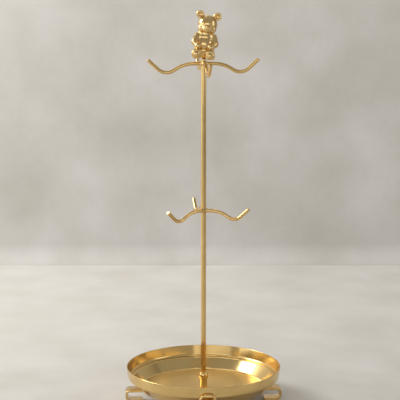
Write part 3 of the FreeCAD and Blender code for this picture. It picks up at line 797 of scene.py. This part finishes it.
ring = bend_stock("drop_ring", loop_points,
                  {"Round": True, "Width": 2 * RING_WIRE, "Thickness": 2 * RING_WIRE, "Material": ROD_PLATE},
                  cyclic=True)
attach(ring, "pull_ring")
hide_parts("pull_ring")

lug_bore = RING_WIRE + RUNNING_GAP
LUG_EDGE = 0.3 * MM
lug_half = LUG_WIDTH / 2
lug_outline = rounded([(lug_bore, -lug_half, EDGE), (LUG_RADIUS, -lug_half, LUG_EDGE),
                       (LUG_RADIUS, lug_half, LUG_EDGE), (lug_bore, lug_half, EDGE)])
lug = lathe("ring_barrel", lug_outline, ROD_PLATE, segments=48)
upright_to_across = Vector((0, 0, 1)).rotation_difference(front_across).to_matrix().to_4x4()
pin_middle = front_out * ring_place + Vector((0, 0, ring_level))
lug.data.transform(Matrix.Translation(pin_middle) @ upright_to_across)
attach(lug, "base")
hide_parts("ring_lug")
print("ring pin's middle in mm:", [round(v / MM, 1) for v in pin_middle])

# %% [markdown]
# ## Bought fasteners
# The washers, nut and stud already have the right shape, so they only change material.

# %% Plate the fasteners
FASTENERS = ("base_washer", "base_lock_washer", "base_nut", "finial_stud")
for node in FASTENERS:
    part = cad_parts[node]
    part.data.materials.clear()
    part.data.materials.append(ZINC)
print("zinc plated:", len(FASTENERS), "pieces")

# %% [markdown]
# ## The bear
# The finial is one casting: a seated teddy bear.  Wax for such a casting is built from rolled balls
# and then smoothed with a thumb, and that is how it is made here.  Balls and limbs overlap, a voxel
# remesh welds them into one skin, smoothing softens the joins, and the small marks come last.

# %% Roll the balls
BEAR_LEAN = math.radians(8.5)
BEAR_SHIFT = -1.2 * MM
bear_low = Vector(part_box("bear_finial")[0])
seat = Vector((BEAR_SHIFT, 0, bear_low.z))
EAR_OUT, EAR_LEVEL = 9.7, 48.8
HEAD_LEVEL = 38.5

# One ball of radius 1, which every other ball copies.
template = bmesh.new()
bmesh.ops.create_uvsphere(template, u_segments=26, v_segments=16, radius=1.0)
template.verts.index_update()
BALL_POINTS = [vertex.co.copy() for vertex in template.verts]
BALL_FACES = [[vertex.index for vertex in face.verts] for face in template.faces]
template.free()


def ball(wax, centre, radii, turn=0.0):
    """Add one ball to the wax, a (points, faces) pair; millimetres, and degrees about the upright."""
    points, faces = wax
    radii = (radii,) * 3 if isinstance(radii, (int, float)) else radii
    shape = Matrix.Translation(Vector(centre) * MM) @ Matrix.Rotation(math.radians(turn), 4, "Z")
    shape = shape @ Matrix.Diagonal([r * MM for r in radii] + [1])
    first = len(points)
    points += [shape @ point for point in BALL_POINTS]
    faces += [[first + index for index in face] for face in BALL_FACES]


def limb(wax, start, end, first, last, count=7):
    """A tapering row of balls."""
    for k in range(count + 1):
        share = k / count
        ball(wax, Vector(start).lerp(Vector(end), share), first + (last - first) * share)


def hoop(wax, centre, radius, wire, count=24):
    """A ring of balls facing the front: the rolled rim of an ear."""
    for k in range(count):
        angle = 2 * math.pi * k / count
        spot = (centre[0] + radius * math.cos(angle), centre[1], centre[2] + radius * math.sin(angle))
        ball(wax, spot, wire)


def waxwork(name, wax):
    """Turn rolled balls into one mesh object."""
    mesh = bpy.data.meshes.new(name)
    points, faces = wax
    mesh.from_pydata(points, [], faces)
    mesh.materials.append(CAST_PLATE)
    for polygon in mesh.polygons:
        polygon.use_smooth = True
    piece = bpy.data.objects.new(name, mesh)
    bpy.context.collection.objects.link(piece)
    return piece


wax = ([], [])
ball(wax, (0, 1.0, 9.8), (12.0, 10.6, 9.8))
ball(wax, (0, -0.8, 16.5), (10.8, 10.2, 10.4))
ball(wax, (0, 0.4, 24.0), (10.2, 8.4, 7.6))
ball(wax, (0, 0.0, 28.6), (8.6, 7.2, 4.4))
ball(wax, (0, -0.6, HEAD_LEVEL), (10.9, 10.1, 11.0))
ball(wax, (0, -8.8, HEAD_LEVEL - 4.0), (5.4, 4.8, 4.5))
ball(wax, (0, 11.2, 7.0), 3.0)
for side in (-1, 1):
    ball(wax, (side * 4.8, -3.6, HEAD_LEVEL - 4.2), (5.6, 5.4, 5.2))
    hoop(wax, (side * EAR_OUT, 0, EAR_LEVEL), 3.3, 1.35)
    ball(wax, (side * EAR_OUT, 1.3, EAR_LEVEL), (3.3, 0.7, 3.3))
    limb(wax, (side * 8.4, -0.4, 25.2), (side * 11.2, -4.2, 18.4), 4.4, 4.2)
    limb(wax, (side * 11.2, -4.2, 18.4), (side * 7.6, -9.6, 14.8), 4.2, 3.5)
    ball(wax, (side * 7.2, -10.4, 14.6), (3.9, 3.7, 3.9))
    limb(wax, (side * 7.6, -3.0, 6.4), (side * 7.8, -13.2, 5.5), 5.5, 4.9)
    ball(wax, (side * 7.7, -14.6, 5.9), (5.7, 2.9, 5.9), turn=side * -8)
raw = waxwork("bear_wax", wax)
print("balls and limbs:", len(raw.data.vertices), "points before welding")

# %% Weld and smooth the skin
SKIN_GRID = 0.38 * MM
SMOOTH_PASSES = 7
weld = raw.modifiers.new("weld", "REMESH")
weld.mode = "VOXEL"
weld.voxel_size = SKIN_GRID
soften = raw.modifiers.new("soften", "SMOOTH")
soften.factor = 0.5
soften.iterations = SMOOTH_PASSES
graph = bpy.context.evaluated_depsgraph_get()
skin = bpy.data.meshes.new_from_object(raw.evaluated_get(graph), depsgraph=graph)
bpy.data.objects.remove(raw)
print("bear skin faces:", len(skin.polygons))

# %% [markdown]
# The marks are pressed in while the bear still stands upright: a short line under the nose with a
# smile, and a shallow rim round each sole.  Each mark is a line, and points near it sink with a
# soft-sided groove.

# %% Press the marks
def press(mesh, line, width, depth, front_limit):
    """Sink points near a line seen from the front; all sizes in millimetres."""
    segments = [(Vector(a) * MM, Vector(b) * MM) for a, b in zip(line, line[1:])]
    for vertex in mesh.vertices:
        if vertex.co.y > front_limit * MM:
            continue
        here = Vector((vertex.co.x, vertex.co.z))
        gap = width * MM
        for a, b in segments:
            along = max(0.0, min(1.0, (here - a).dot(b - a) / (b - a).length_squared))
            gap = min(gap, (a.lerp(b, along) - here).length)
        sink = 0.5 + 0.5 * math.cos(math.pi * gap / (width * MM))
        vertex.co -= vertex.normal * depth * MM * sink


def arc_line(centre, radii, first, last, count=14):
    """Points along part of an ellipse, from one angle in degrees to another."""
    angles = [math.radians(first + (last - first) * k / count) for k in range(count + 1)]
    return [(centre[0] + radii[0] * math.cos(a), centre[1] + radii[1] * math.sin(a)) for a in angles]


NOSE_LEVEL = HEAD_LEVEL - 2.2
press(skin, [(0, NOSE_LEVEL), (0, HEAD_LEVEL - 5.2)], 0.8, 0.45, -10)
press(skin, arc_line((0, HEAD_LEVEL - 4.0), (2.8, 2.0), 200, 340), 0.8, 0.5, -9)
for side in (-1, 1):
    press(skin, arc_line((side * 7.7, 5.8), (3.8, 3.8), 0, 360, 32), 0.9, 0.5, -15)

lean = Matrix.Translation(seat) @ Matrix.Rotation(BEAR_LEAN, 4, "Y")
skin.transform(lean)
for vertex in skin.vertices:
    vertex.co.z = max(vertex.co.z, seat.z)
skin.materials.clear()
skin.materials.append(CAST_PLATE)
for polygon in skin.polygons:
    polygon.use_smooth = True
skin.name = "bear_cast"
bear = bpy.data.objects.new("bear_cast", skin)
bpy.context.collection.objects.link(bear)
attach(bear, "finial")
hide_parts("bear_finial")

# %% Eyes and nose
face = ([], [])
ball(face, (0, -13.4, NOSE_LEVEL + 0.2), (2.0, 1.2, 1.4))
for side in (-1, 1):
    ball(face, (side * 4.0, -9.7, HEAD_LEVEL + 1.7), 1.15)
face_marks = waxwork("bear_eyes_and_nose", face)
face_marks.data.transform(lean)
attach(face_marks, "finial")
print("bear height in mm:", round(bear.dimensions.z / MM, 1), "width:", round(bear.dimensions.x / MM, 1))
